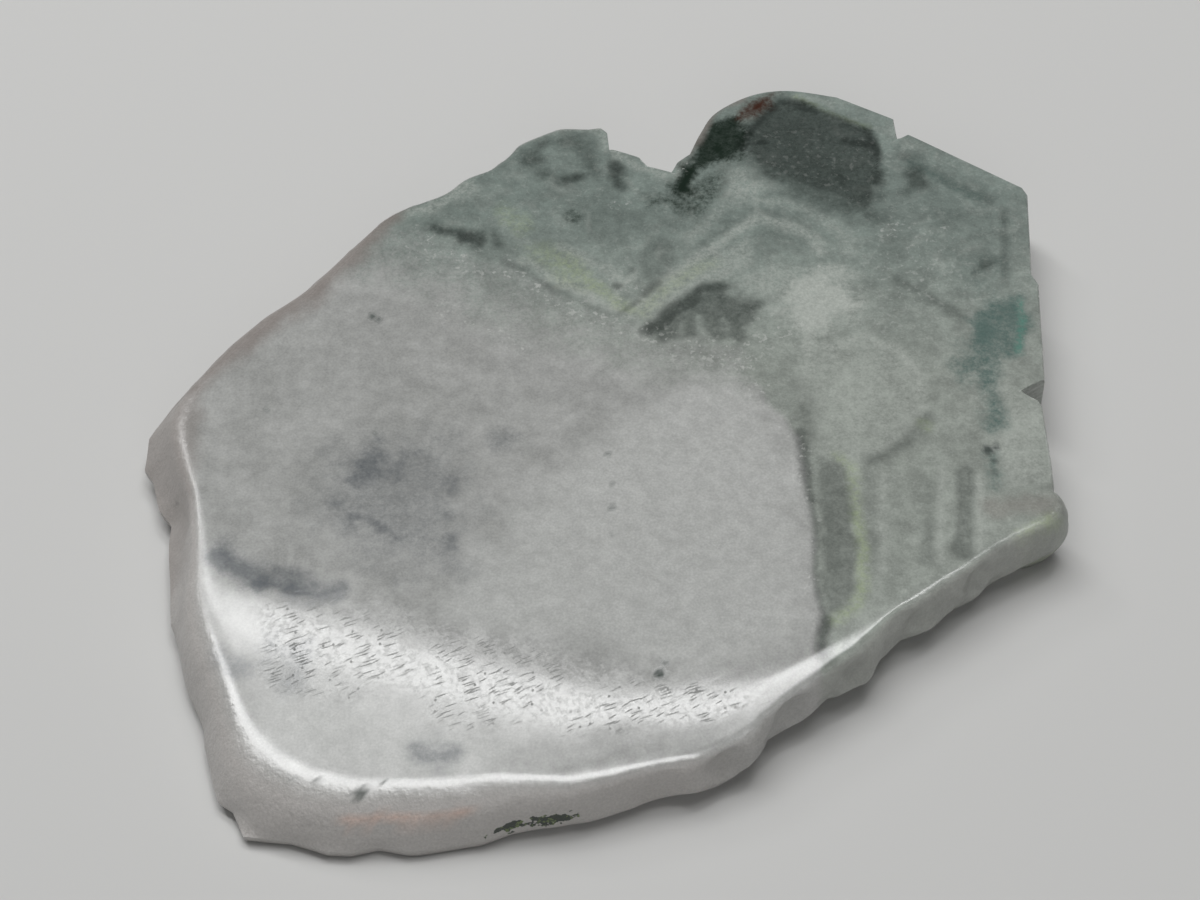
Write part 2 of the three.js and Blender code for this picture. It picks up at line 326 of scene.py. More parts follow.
# The middle of the outline's box is the origin. Nothing stands out of the solid's box, but for a little
# headroom above it for the waves of the polish.
box_low, box_high = (np.array(corner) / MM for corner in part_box("quartz_slice"))
middle = (places.min(axis=0) + places.max(axis=0)) / 2
xs = xs - middle[0]
ys = ys - middle[1]
vertices = np.stack([xs, ys, heights], axis=-1).reshape(-1, 3)
poles = np.array([[hub[0] - middle[0], hub[1] - middle[1], 0.0],
                  [hub[0] - middle[0], hub[1] - middle[1], heights[-1].mean()]])
vertices = np.concatenate([vertices, poles])
headroom = np.array([0.0, 0.0, 0.05])
vertices = np.clip(vertices, box_low, box_high + headroom)

ring, column = np.meshgrid(np.arange(ring_count - 1), np.arange(columns), indexing="ij")
after = (column + 1) % columns
quads = np.stack([ring * columns + column, ring * columns + after,
                  (ring + 1) * columns + after, (ring + 1) * columns + column], axis=-1).reshape(-1, 4)
each = np.arange(columns)
following = (each + 1) % columns
under_fan = np.stack([np.full(columns, ring_count * columns), following, each], axis=-1)
last = (ring_count - 1) * columns
top_fan = np.stack([np.full(columns, ring_count * columns + 1), last + each, last + following], axis=-1)

slice_mesh = bpy.data.meshes.new("quartz_slice_look")
slice_mesh.vertices.add(len(vertices))
slice_mesh.vertices.foreach_set("co", (vertices * MM).ravel())
corners = np.concatenate([quads.ravel(), under_fan.ravel(), top_fan.ravel()])
sides = np.concatenate([np.full(len(quads), 4), np.full(len(under_fan) + len(top_fan), 3)])
slice_mesh.loops.add(len(corners))
slice_mesh.loops.foreach_set("vertex_index", corners)
slice_mesh.polygons.add(len(sides))
slice_mesh.polygons.foreach_set("loop_start", np.concatenate([[0], np.cumsum(sides)[:-1]]))
slice_mesh.update(calc_edges=True)
slice_mesh.validate()
slice_mesh.shade_smooth()
crease_degrees = 38
slice_mesh.set_sharp_from_angle(angle=math.radians(crease_degrees))

# What is inside the stone, drawn as patches and streaks in mm on the top. Edges of growth zones are
# straight, the milky core and the dust have ragged, cloudy edges.
x = vertices[:, 0]
y = vertices[:, 1]
waver = 2.6
waver_size = 3.6
wave_x = waver * (cloud(x, y, waver_size, 51) - 0.5)
wave_y = waver * (cloud(x, y, waver_size, 61) - 0.5)
ragged = 2 * cloud(x, y, 1.4, 71, 4) - 1
veil = ease(0.36, 0.66, cloud(x, y, 2.4, 91, 5))


def distance(line, px, py):
    """Distance in mm from each point to the nearest place on a run of straight pieces."""
    nearest = np.full_like(px, 1e3)
    for (ax, ay), (bx, by) in zip(line[:-1], line[1:]):
        length = max((bx - ax)**2 + (by - ay)**2, 1e-9)
        t = np.clip(((px - ax) * (bx - ax) + (py - ay) * (by - ay)) / length, 0.0, 1.0)
        nearest = np.minimum(nearest, np.hypot(px - ax - t * (bx - ax), py - ay - t * (by - ay)))
    return nearest


def patch(corners, soft, rag=0.0, thin=0.0):
    """1 inside a closed outline, 0 outside, with a smooth change `soft` mm to either side of the line.
    Noise moves a ragged line by up to `rag` mm, and thins the inside like a cloud by the share `thin`."""
    px, py = x + min(rag, 1.0) * wave_x, y + min(rag, 1.0) * wave_y
    inside = np.zeros(len(px), dtype=bool)
    for (ax, ay), (bx, by) in zip(corners, corners[1:] + corners[:1]):
        level = (ay > py) != (by > py)
        cross = ax + (py - ay) * (bx - ax) / (by - ay if by != ay else 1e-9)
        inside ^= level & (px < cross)
    gap = distance(corners + corners[:1], px, py)
    return ease(-soft, soft, np.where(inside, gap, -gap) + rag * ragged) * (1 - thin * veil)


def streak(line, half, soft, rag=0.0, thin=0.0):
    """1 along a run of straight pieces, `half` mm to either side, fading out over `soft` mm more.
    Noise moves a ragged edge by up to `rag` mm, and thins the inside like a cloud by the share `thin`."""
    px, py = x + min(rag, 1.0) * wave_x, y + min(rag, 1.0) * wave_y
    gap = distance(line if len(line) > 1 else line * 2, px, py) - rag * ragged
    return (1 - ease(half - soft / 2, half + soft, gap)) * (1 - thin * veil)


def layered(*layers):
    """The strongest of several masks, each given with its strength."""
    total = np.zeros(len(x))
    for strength, mask in layers:
        total = np.maximum(total, strength * mask)
    return total


# The milky core. Its upper edge is the sugary seam where the crystals start, and on the right it ends at a
# healed crack. A brighter wedge stands in it. The lighter patch on the front flat below the bend is
# painted sheen, a painted reflection.
core = patch([(-24.8, 24.4), (-18.3, 22.1), (-14.1, 20.0), (-9.4, 18.2), (-3.6, 14.7), (2.7, 11.0),
              (4.8, 7.9), (7.9, 8.6), (10.1, 8.0), (12.4, 7.6), (13.6, 4.1), (16.4, 1.6), (22.3, -0.7),
              (23.9, -28.7), (20.1, -44.9), (-3.1, -50.2), (-41.3, -46.2), (-46.7, 1.6), (-37.6, 14.6)],
             1.3, 1.3)
left_of_crack = patch([(12.0, 13.4), (12.7, 8.0), (13.7, 3.9), (14.5, 1.3), (17.0, -2.5), (17.4, -6.3),
                       (17.6, -10.6), (17.8, -14.8), (17.8, -20.0), (17.8, -25.7), (16.4, -49.5),
                       (-40.8, -51.1), (-51.3, 39.3), (-0.1, 25.9)], 0.35, 0.3)
deep = patch([(-24.4, 18.0), (-18.0, 16.4), (-13.4, 13.4), (-7.1, 10.4), (-0.9, 7.4), (3.4, 4.8),
              (8.7, 4.8), (12.1, 4.5), (17.2, 1.6), (23.9, -28.7), (20.1, -44.9), (-3.1, -50.2),
              (-41.3, -46.2), (-46.7, 1.6), (-37.3, 12.2)], 3.5, 2.0)
milk = core * left_of_crack * (0.3 + 0.7 * deep)
wedge_and_sheen = layered(
    (1.0, patch([(-10.8, -15.9), (-8.4, -12.9), (-3.4, -5.7), (1.7, -0.7), (6.9, 3.3), (11.7, 6.0),
                 (13.1, 3.3), (14.9, -1.8), (16.9, -6.3), (17.5, -13.8), (17.4, -23.9), (9.6, -26.4),
                 (-3.3, -24.0), (-13.9, -21.4)], 2.0, 1.2)),
    # The second patch, on the front flat between the bend and the rim, is a painted reflection.
    (1.2, patch([(-27.9, -29.3), (-21.6, -28.5), (-13.5, -30.6), (-6.3, -33.1), (-7.9, -35.7),
                 (-15.7, -35.9), (-23.6, -34.9), (-26.7, -33.1)], 1.5, 1.0)))

# Pale growth zones: bands along the crystal faces, the edges of buried crystals and a cloud between them.
# `grown` is 1 along the crystal faces and 0 along the broken edges. The two middle points, of underside and
# top, are far from any edge.
far_inside = 30.0
least_broken = 0.1
inset = np.concatenate([((radius - spans) * askew).ravel(), [far_inside, far_inside]])
grown = np.concatenate([np.tile(np.clip(1 - broken / least_broken, 0.0, 1.0), ring_count), [0.0, 0.0]])
rim_band = grown * ease(17.0, 23.0, x) * (1 - ease(1.55, 1.95, inset))
pale = layered(
    (0.05, rim_band),
    (0.8, patch([(17.4, 15.2), (19.3, 16.8), (21.9, 16.4), (22.7, 13.4), (20.7, 10.4), (17.6, 9.8),
                 (16.4, 12.2)], 1.6, 1.2)),
    (0.2, patch([(18.1, 8.6), (20.3, 8.0), (23.0, 9.3), (25.6, 8.0), (27.5, 5.5), (27.9, 2.1), (27.3, 0.2),
                 (25.1, -2.9), (22.7, -5.4), (18.2, -4.3)], 0.5, 0.25)),
    (0.42, streak([(17.7, 1.6), (18.0, 8.0), (20.3, 7.7), (23.0, 9.0), (25.5, 7.7), (27.3, 5.3),
                   (27.6, 2.1)], 0.3, 0.8, 0.3)),
    (0.5, streak([(17.8, 13.9), (18.0, 9.8), (18.0, 4.8)], 0.2, 0.4, 0.2)),
    (0.36, streak([(2.8, 12.4), (8.1, 18.0), (12.2, 21.8), (14.4, 23.9), (17.3, 22.3), (19.2, 21.3),
                   (20.0, 19.3)], 0.4, 0.7, 0.25)),
    (0.26, patch([(3.1, 11.9), (9.0, 18.0), (13.1, 21.4), (13.9, 18.0), (10.9, 15.8), (8.9, 15.1),
                  (4.8, 11.2)], 0.5, 0.35)),
    (0.2, streak([(7.9, 21.1), (11.4, 25.3), (14.7, 26.0), (18.3, 24.9), (22.2, 21.8), (22.5, 18.9)],
                 0.4, 0.9, 0.3)),
    (0.25, patch([(14.4, 18.0), (18.0, 18.0), (20.6, 16.4), (17.8, 13.4), (14.7, 13.9), (12.5, 15.8)],
                 1.2, 1.0)),
    (0.3, patch([(35.0, 2.0), (38.0, 1.6), (37.9, -7.3), (33.6, -8.6), (33.9, -2.9)], 1.0, 0.8)),
    (0.3, streak([(23.9, -6.8), (23.1, -16.9)], 0.2, 0.6, 0.25)),
    (0.35, streak([(28.8, -6.3), (27.8, -15.8)], 0.25, 0.5, 0.2)),
    (0.4, streak([(32.2, -7.1), (31.4, -14.3)], 0.3, 0.5, 0.2)),
    (0.35, streak([(23.2, -4.3), (26.1, -2.1), (28.0, 1.1)], 0.25, 0.5, 0.2)),
    (0.35, streak([(-6.6, 18.0), (-2.3, 14.8), (2.4, 11.7)], 0.3, 0.7, 0.4)),
    (0.4, streak([(1.0, 13.4), (2.1, 15.6), (3.3, 16.8)], 0.2, 0.5, 0.4)),
    (0.3, streak([(-3.7, 20.0), (-0.1, 18.0), (1.9, 15.8)], 0.3, 0.8, 0.5)),
    (0.35, streak([(-17.6, 24.1), (-14.7, 25.7), (-12.2, 27.7)], 0.4, 0.8, 0.5)),
    (0.3, streak([(-7.5, 33.8), (-3.8, 35.6), (-0.1, 35.5), (0.5, 32.5), (3.7, 30.4), (6.2, 29.1)],
                 0.3, 0.8, 0.4)),
    (0.45, streak([(7.8, 30.8), (7.0, 29.1)], 0.3, 0.6, 0.4)),
    (0.3, patch([(11.6, 30.1), (14.0, 29.6), (17.0, 27.2), (14.7, 25.9), (11.0, 25.9)], 0.9, 0.8)))

# Clear, smoky windows and hair cracks.
smoke = layered(
    (0.6, patch([(13.3, 35.9), (15.1, 37.1), (17.2, 39.7), (18.9, 38.9), (22.6, 36.8), (25.1, 35.2),
                 (25.5, 32.5), (25.4, 27.9), (24.9, 24.6), (22.9, 25.4), (19.8, 27.0), (17.1, 28.4),
                 (14.6, 30.4), (13.6, 32.5)], 0.6, 0.5)),
    (0.42, patch([(13.6, 32.5), (25.5, 32.5), (25.3, 22.8), (22.8, 23.9), (18.3, 25.7), (14.3, 28.5)],
                 1.4, 1.0)),
    (0.78, streak([(13.6, 32.5), (14.4, 35.7), (17.0, 39.4), (18.9, 38.5), (23.0, 36.3), (25.1, 34.7),
                   (25.4, 31.8), (25.2, 28.3)], 0.35, 0.9, 0.5)),
    (0.85, streak([(14.2, 33.2), (15.5, 33.6)], 0.4, 1.0, 0.8)),
    (0.82, streak([(22.6, 33.8), (24.8, 33.0)], 0.4, 1.1, 0.8)),
    (0.7, streak([(15.5, 29.1), (16.6, 28.5)], 0.3, 0.9, 0.7)),
    (0.68, streak([(24.3, 26.4)], 0.5, 1.0, 0.8)),
    (0.72, streak([(21.3, 30.1), (22.0, 28.5)], 0.3, 1.0, 0.8)),
    (0.5, patch([(28.3, 31.2), (29.9, 30.6), (30.2, 27.5), (28.1, 26.7)], 0.8, 0.6)),
    (0.26, streak([(28.4, 31.4), (33.2, 27.7), (35.6, 26.0)], 0.45, 0.8, 0.25)),
    (0.26, streak([(37.0, 24.6), (36.1, 15.2)], 0.25, 0.5, 0.15)),
    (0.08, patch([(30.4, 27.2), (35.3, 25.3), (36.3, 20.8), (35.7, 15.2), (32.1, 14.6), (30.3, 19.5)],
                 1.6, 1.2)),
    (0.5, streak([(33.6, 16.8), (35.0, 18.0)], 0.25, 0.9, 0.6)),
    (0.22, streak([(26.7, 15.7), (29.0, 14.0)], 0.25, 0.8, 0.4)),
    (0.25, streak([(29.3, 13.4), (31.7, 11.9)], 0.3, 1.0, 0.7)),
    (0.16, patch([(24.7, 21.3), (27.7, 21.3), (27.2, 19.0), (25.1, 18.8)], 0.8, 0.6)),
    (0.36, patch([(3.5, 9.4), (4.8, 11.2), (8.0, 13.4), (9.1, 14.8), (10.5, 15.2), (12.0, 14.0),
                  (14.6, 13.0), (13.9, 11.2), (12.5, 10.0), (12.1, 8.8), (10.3, 8.3), (9.2, 10.1),
                  (8.3, 10.1), (7.7, 8.6), (5.7, 8.0)], 0.6, 0.8)),
    (0.6, streak([(4.4, 9.9), (6.0, 11.6), (8.0, 13.2), (9.3, 14.5), (10.9, 14.8)], 0.5, 0.8, 0.5)),
    (0.45, patch([(9.3, 14.6), (10.9, 15.0), (12.2, 13.4), (13.1, 11.9), (12.5, 10.4), (10.1, 10.7)],
                 0.7, 0.7)),
    (0.45, streak([(12.9, 12.4), (14.4, 12.8)], 0.3, 0.8, 0.5)),
    (0.16, patch([(4.0, 20.8), (5.6, 21.1), (7.1, 18.8), (5.3, 14.6), (3.5, 16.8)], 0.5, 0.25)),
    (0.5, streak([(1.5, 15.2)], 0.25, 0.6, 0.4)),
    (0.3, streak([(3.0, 17.1)], 0.25, 0.6, 0.4)),
    (0.4, streak([(5.1, 15.4), (4.0, 14.2)], 0.15, 0.6, 0.4)),
    (0.3, streak([(1.7, 11.8), (3.5, 13.4)], 0.15, 0.4, 0.2)),
    (0.1, patch([(14.1, 22.1), (15.9, 22.7), (18.1, 21.1), (18.8, 20.0), (16.7, 19.4), (13.7, 18.3)],
                0.6, 0.4)),
    (0.12, streak([(9.0, 20.2), (13.7, 24.4), (17.3, 23.6), (20.6, 20.8)], 0.2, 0.6, 0.2)),
    (0.24, streak([(23.1, -5.3), (25.8, -3.4), (28.1, -0.2)], 0.4, 0.9, 0.3)),
    (0.16, patch([(14.1, 2.0), (16.5, 5.0), (18.4, 3.0), (18.5, -2.9), (17.0, -2.6), (15.8, -0.7)],
                 0.8, 0.7)),
    (0.22, patch([(16.5, 1.6), (18.3, 2.0), (18.5, -2.7), (17.2, -2.5)], 0.7, 0.6)),
    (0.27, patch([(18.8, -4.7), (20.7, -5.8), (21.0, -9.5), (21.1, -15.9), (20.9, -19.5), (19.5, -20.9),
                  (18.3, -21.2), (18.3, -15.9), (18.3, -9.5)], 0.45, 0.5)),
    (0.4, streak([(17.1, -1.8), (17.4, -5.2), (17.7, -9.5)], 0.3, 0.5, 0.3)),
    (0.3, streak([(17.7, -9.5), (17.8, -14.3), (17.9, -19.5), (17.9, -24.8)], 0.2, 0.5, 0.35)),
    (0.5, streak([(18.0, -21.8), (18.1, -25.0)], 0.35, 0.6, 0.3)),
    (0.12, streak([(22.6, -6.3), (22.3, -16.9)], 0.3, 0.7, 0.3)),
    (0.15, streak([(27.7, -7.1), (26.8, -15.8)], 0.45, 0.8, 0.4)),
    (0.28, streak([(30.9, -6.7), (29.9, -15.0)], 0.6, 0.6, 0.3)),
    (0.36, streak([(-6.1, 30.8), (-5.0, 33.4), (-2.4, 34.2), (-1.0, 32.9), (-1.1, 29.8), (-2.8, 28.8),
                   (-5.6, 29.6)], 0.3, 1.2, 0.9)),
    (0.62, streak([(-3.7, 28.8), (-1.9, 29.2)], 0.35, 0.9, 0.6)),
    (0.45, streak([(-6.6, 30.4), (-5.6, 31.2)], 0.3, 1.0, 0.8)),
    (0.6, streak([(1.3, 30.1), (1.7, 28.0)], 0.4, 0.9, 0.7)),
    (0.08, patch([(-2.9, 25.8), (0.9, 26.4), (3.6, 24.6), (3.2, 20.8), (-0.1, 20.3), (-2.6, 22.1)],
                 0.9, 0.8)),
    (0.7, streak([(-15.4, 22.1), (-13.7, 21.3), (-11.1, 20.7)], 0.3, 1.0, 0.8)),
    (0.45, streak([(-9.7, 21.3), (-9.2, 20.2)], 0.3, 1.0, 0.8)),
    (0.2, streak([(-8.6, 18.0), (-3.6, 14.6), (1.7, 11.2)], 0.15, 0.5, 0.4)))
smoke = smoke * (1 - layered(
    (0.9, streak([(8.6, 11.4), (8.9, 9.0)], 0.15, 0.4, 0.2)),
    (0.6, streak([(7.2, 11.0), (7.0, 8.8)], 0.1, 0.4, 0.3)),
    (0.7, streak([(10.8, 11.2), (11.2, 9.8)], 0.1, 0.4, 0.3))))

# Grey haze inside the milk.
haze = layered(
    (0.75, patch([(-22.7, -7.1), (-21.1, -4.6), (-18.0, -2.9), (-16.0, -4.3), (-17.4, -6.3), (-19.8, -8.0),
                  (-21.5, -9.0)], 1.6, 1.6)),
    (0.75, patch([(-22.3, -9.5), (-20.0, -9.5), (-17.4, -11.4), (-16.6, -14.0), (-19.2, -13.1),
                  (-21.3, -11.6)], 1.5, 1.6)),
    (0.65, patch([(-13.0, -7.6), (-12.0, -8.0), (-11.5, -14.6), (-12.5, -14.3)], 1.2, 1.4)),
    (0.42, patch([(-9.3, -2.5), (-6.9, -2.5), (-7.0, -4.5), (-8.9, -4.3)], 1.4, 1.4)),
    (0.34, patch([(-23.8, -3.5), (-14.1, -2.9), (-11.0, -9.5), (-11.4, -16.9), (-17.8, -16.4),
                  (-23.8, -11.6)], 3.0, 2.5)),
    (0.88, streak([(-32.0, -14.8), (-29.3, -16.5), (-25.9, -18.2), (-22.3, -19.5)], 0.5, 1.9, 1.0)),
    (0.95, streak([(-27.8, -17.8), (-25.3, -18.8), (-23.1, -19.4)], 0.4, 1.2, 1.0)),
    (0.6, streak([(-33.0, -24.4), (-31.1, -25.1), (-28.9, -26.3)], 0.4, 1.3, 1.2)),
    (0.45, streak([(-27.1, -24.5), (-24.2, -24.9), (-24.8, -27.5)], 0.5, 1.8, 1.4)),
    (0.8, streak([(-13.8, -33.3), (-12.5, -34.0)], 0.5, 1.5, 1.0)))

# Ajoite: black-green crusts in the notch, blue-green dust in the right-hand crystal and yellow-green seams.
green = layered(
    (0.94, patch([(10.5, 36.3), (13.2, 37.0), (14.2, 34.9), (13.6, 31.4), (11.3, 30.5), (9.4, 29.8),
                  (8.4, 27.7), (7.3, 26.7), (6.4, 27.7), (7.6, 30.1), (8.8, 31.4), (9.5, 33.8)],
                 0.7, 0.7)),
    (1.0, streak([(11.4, 34.7), (11.0, 32.5)], 0.6, 1.0, 0.7)),
    (0.9, streak([(10.3, 34.1), (12.7, 33.6)], 0.4, 1.0, 0.8)),
    (1.0, streak([(8.5, 29.8), (7.6, 27.7)], 0.8, 1.0, 0.6)),
    (0.5, patch([(6.2, 27.2), (8.3, 27.5), (10.3, 29.3), (12.5, 30.4), (12.7, 28.3), (9.6, 24.1),
                 (7.1, 24.1)], 1.0, 1.1)),
    (0.55, streak([(4.4, 25.8), (6.0, 26.0), (8.0, 24.9)], 0.35, 1.0, 0.8)),
    (0.5, streak([(-2.3, 23.9)], 0.35, 0.8, 0.6)),
    (0.4, streak([(8.8, 23.1)], 0.3, 0.8, 0.6)),
    (0.35, streak([(18.9, 39.2), (23.1, 36.7), (25.5, 34.9)], 0.15, 0.4, 0.2)))

teal = layered(
    (0.95, patch([(34.2, 12.8), (35.7, 14.3), (37.4, 13.7), (37.6, 11.0), (37.2, 7.4), (35.3, 6.4),
                  (33.5, 5.0), (31.8, 4.3), (31.4, 8.0), (32.7, 10.4)], 0.8, 0.9, 0.3)),
    (0.55, patch([(31.7, 9.8), (33.8, 8.6), (33.5, 4.5), (31.4, 3.3), (30.6, 6.2)], 1.0, 1.0, 0.3)),
    (0.75, streak([(33.8, 4.8), (33.9, 2.1), (33.9, -1.3)], 0.5, 0.9, 0.6)),
    (0.5, streak([(33.5, -4.6), (33.5, -8.2)], 0.2, 0.8, 0.5)),
    (0.3, streak([(28.8, 30.8), (32.3, 28.0), (34.9, 26.2)], 0.25, 0.7, 0.2)),
    (0.2, patch([(32.0, 18.9), (36.1, 19.5), (35.8, 14.0), (32.0, 13.4)], 1.2, 1.2, 0.4)))
bright_teal = 0.6 * streak([(37.3, 13.1), (37.1, 10.4), (36.8, 7.4)], 0.15, 0.5, 0.3)

olive = layered(
    (0.3, streak([(20.2, -4.7), (21.2, -5.8), (21.5, -10.1)], 0.3, 0.7, 0.3)),
    (0.5, streak([(21.5, -11.1), (21.6, -14.8), (21.5, -18.9)], 0.3, 0.7, 0.3)),
    (0.4, streak([(21.5, -19.1), (20.7, -20.6), (18.9, -21.8)], 0.3, 0.7, 0.3)),
    (0.26, patch([(-6.8, 20.3), (-4.8, 20.8), (-1.9, 18.5), (-0.1, 15.2), (-2.3, 15.8), (-5.5, 17.5)],
                 1.0, 1.0)),
    (0.22, streak([(-9.4, 24.4), (-7.4, 23.3)], 0.5, 1.2, 0.9)),
    (0.4, streak([(-3.2, 18.0), (-0.1, 14.8), (2.6, 12.4)], 0.3, 0.8, 0.5)),
    (0.2, streak([(3.5, 12.2), (8.0, 16.8), (10.0, 18.0)], 0.4, 0.9, 0.4)),
    (0.3, streak([(18.5, 39.9), (21.7, 37.5), (25.2, 35.5)], 0.15, 0.4, 0.15)),
    (0.35, streak([(27.8, -1.2)], 0.5, 0.8, 0.5)),
    (0.45, streak([(34.8, -13.2), (37.5, -11.6)], 0.4, 0.9, 0.5)))

rust = layered(
    (0.8, patch([(13.0, 37.5), (13.7, 39.0), (15.2, 39.9), (16.5, 40.3), (16.2, 38.3), (14.8, 37.1),
                 (13.4, 36.7)], 0.5, 0.4)),
    (1.0, patch([(13.8, 37.9), (14.8, 39.3), (16.1, 39.9), (15.7, 38.5), (14.7, 37.6)], 0.4, 0.3)))

# Brown and grey stain on the broken edges. The patch on the left bevel also darkens it as painted shade,
# where the bevel slopes away from the light.
tan = layered(
    (0.8, streak([(8.4, 32.2), (9.6, 34.7), (11.1, 37.8), (13.4, 39.6)], 0.3, 0.7, 0.5)),
    (1.0, patch([(-18.0, 27.5), (-18.5, 23.5), (-24.0, 15.5), (-30.0, 8.0), (-34.8, 3.0), (-42.0, -1.0),
                 (-30.0, 24.0)], 1.2, 0.8)),
    # The left bevel: brown stain, darker also as painted shade where it slopes away from the light.
    (0.6, patch([(-34.5, 4.0), (-34.3, -6.3), (-34.8, -14.0), (-36.0, -20.0), (-44.0, -20.0),
                 (-44.0, 2.0)], 0.9, 0.6)),
    (0.5, streak([(33.0, -10.3), (37.5, -9.8)], 0.7, 0.9, 0.6)))

# Sugary white grains: along the seam above the milk, beside the crack and scattered through the crystals.
sugar = layered(
    (0.8, streak([(-16.4, 20.2), (-9.0, 16.8), (-3.6, 13.4), (2.6, 9.8), (7.0, 7.1), (12.2, 7.1),
                  (13.8, 2.7)], 1.0, 2.0, 1.0)),
    (0.8, streak([(-14.3, 12.2), (-8.9, 9.8), (-6.2, 7.6)], 0.3, 1.2, 0.8)),
    (0.9, streak([(14.6, 0.4), (16.9, -2.9), (17.2, -9.5), (17.5, -19.0)], 0.4, 1.2, 0.6)),
    (0.7, patch([(14.2, 12.2), (17.7, 11.0), (13.9, 6.2), (12.2, 8.0)], 1.5, 1.0)),
    (0.9, streak([(20.5, 17.5), (20.9, 16.8)], 0.3, 0.7, 0.4)),
    (0.8, streak([(25.4, 21.8), (28.4, 22.3)], 0.4, 1.2, 0.8)),
    (0.8, streak([(31.5, 22.1)], 0.4, 1.0, 0.6)),
    (0.9, streak([(1.8, 25.3)], 0.4, 0.8, 0.5)),
    (0.9, streak([(7.7, 30.5), (7.0, 29.1)], 0.4, 0.8, 0.5)),
    (0.5, patch([(-0.1, 18.3), (3.6, 18.9), (4.4, 13.4), (0.8, 12.2)], 1.5, 1.2)),
    (0.35, patch([(24.7, 24.0), (32.9, 24.0), (34.7, 13.4), (24.7, 9.8)], 2.0, 1.5)),
    (0.3, patch([(13.6, 35.9), (25.3, 34.5), (24.7, 24.6), (14.8, 29.2)], 1.5, 1.0)))

# The scuffed part of the polish, along the bend where the front flat starts and the front highlight falls.
# Its scratches are also painted dark there as painted shade.
scuffed_and_shaded = patch([(-29.0, -19.8), (-22.1, -19.9), (-14.6, -22.1), (-6.5, -23.9), (3.1, -27.1),
                 (13.5, -28.5), (12.7, -30.4), (7.0, -33.2), (-0.1, -33.3), (-9.5, -32.1), (-19.1, -30.0),
                 (-27.0, -28.4)], 1.5, 1.0)

# How far each point is up the wall, in rings. From it come the rough skin of the edge, the soft polish of
# the rim, the ground stone of the worn edges, painted lighter as painted light for the light and glow of the
# front walls, a pink fracture under the front rim and a crust of ajoite low on the front.
full_wear = 8.0
level = np.concatenate([np.repeat(np.arange(ring_count), columns), [0, ring_count]])
shoulder_level = top_from - roll_rings
edge_skin = 1 - np.clip((level - shoulder_level - 2) / (0.45 * roll_rings), 0.0, 1.0)
wear_share = np.concatenate([np.tile(np.clip(wear / full_wear, 0.0, 1.0), ring_count), [0.0, 0.0]])
soft_rim = (1 - ease(-2.0, 5.0, level - top_from)) * wear_share
# The ground stone's lighter colour is partly painted light on the front walls, weaker to the right.
ground_and_glow = wear_share * edge_skin * (1 - 0.6 * ease(6.0, 15.0, x))
fracture = ease(-21.0, -19.5, x) * (1 - ease(-11.0, -9.0, x)) * (y < -30)
fracture *= np.maximum(0.0, 1 - np.abs(level - shoulder_level - 1 + 0.8 * ragged))

# Dark specks and the bottoms of the pits: place, half width and strength.
speck_list = [
    ((-20.2, 11.4), 0.3, 0.9), ((-19.6, 11.1), 0.18, 0.8), ((-28.9, 0.5), 0.2, 0.5),
    ((-32.6, -6.2), 0.12, 0.5), ((-36.0, -7.7), 0.12, 0.5), ((-19.2, -2.2), 0.12, 0.5),
    ((0.5, -4.5), 0.18, 0.6), ((0.8, -7.8), 0.15, 0.5), ((1.2, -10.3), 0.18, 0.6),
    ((1.0, -13.3), 0.12, 0.5), ((-24.0, -36.3), 0.15, 0.7), ((-22.2, -36.6), 0.15, 0.7),
    ((-17.0, -36.6), 0.2, 0.6), ((4.75, -27.2), 0.5, 0.9), ((5.2, -26.1), 0.25, 0.7),
    ((33.1, -4.1), 0.35, 1.0), ((33.8, -3.8), 0.25, 1.0), ((33.5, -5.4), 0.2, 0.8),
    ((33.45, -6.6), 0.15, 0.7), ((-18.65, -37.6), 0.55, 0.8),
]
specks = layered(*[(strength, streak([place], half, 0.22, 0.25)) for place, half, strength in speck_list])
crust = streak([(-8.2, -39.8), (-5.0, -39.2), (-1.8, -37.9)], 0.9, 0.8, 0.8)
crust = crust * np.maximum(0.0, 1 - np.abs(level - shoulder_level + 9) / 6)

for name, values in (("milk", milk), ("wedge_and_sheen", wedge_and_sheen), ("pale", pale), ("smoke", smoke), ("haze", haze),
                     ("green", green), ("teal", teal), ("bright_teal", bright_teal), ("olive", olive),
                     ("rust", rust), ("tan", tan), ("sugar", sugar), ("edge_skin", edge_skin),
                     ("soft_rim", soft_rim), ("scuffed_and_shaded", scuffed_and_shaded), ("grown", grown), ("ground_and_glow", ground_and_glow),
                     ("fracture", fracture), ("specks", specks), ("crust", crust)):
    slice_mesh.attributes.new(name, "FLOAT", "POINT").data.foreach_set("value", values.astype(np.float32))

quartz = bpy.data.materials.new("ajoite_quartz")
quartz.use_nodes = True
tree = quartz.node_tree
shader = tree.nodes["Principled BSDF"]


def add(kind, **settings):
    """A node of the quartz material. Its own settings are set, and the rest are input values or links."""
    made = tree.nodes.new(kind)
    for name, value in settings.items():
        if hasattr(made, name) and name not in made.inputs:
            setattr(made, name, value)
    for name, value in settings.items():
        if name in made.inputs:
            if isinstance(value, bpy.types.NodeSocket):
                tree.links.new(value, made.inputs[name])
            else:
                made.inputs[name].default_value = value
    return made


def attribute(name):
    """The mask of that name on the mesh."""
    return add("ShaderNodeAttribute", attribute_name=name).outputs["Fac"]


def maths(operation, a, b=0.0, clamp=False):
    """One sum on two values."""
    made = add("ShaderNodeMath", operation=operation, use_clamp=clamp)
    for socket, value in zip(made.inputs, (a, b)):
        if isinstance(value, bpy.types.NodeSocket):
            tree.links.new(value, socket)
        else:
            socket.default_value = value
    return made.outputs[0]


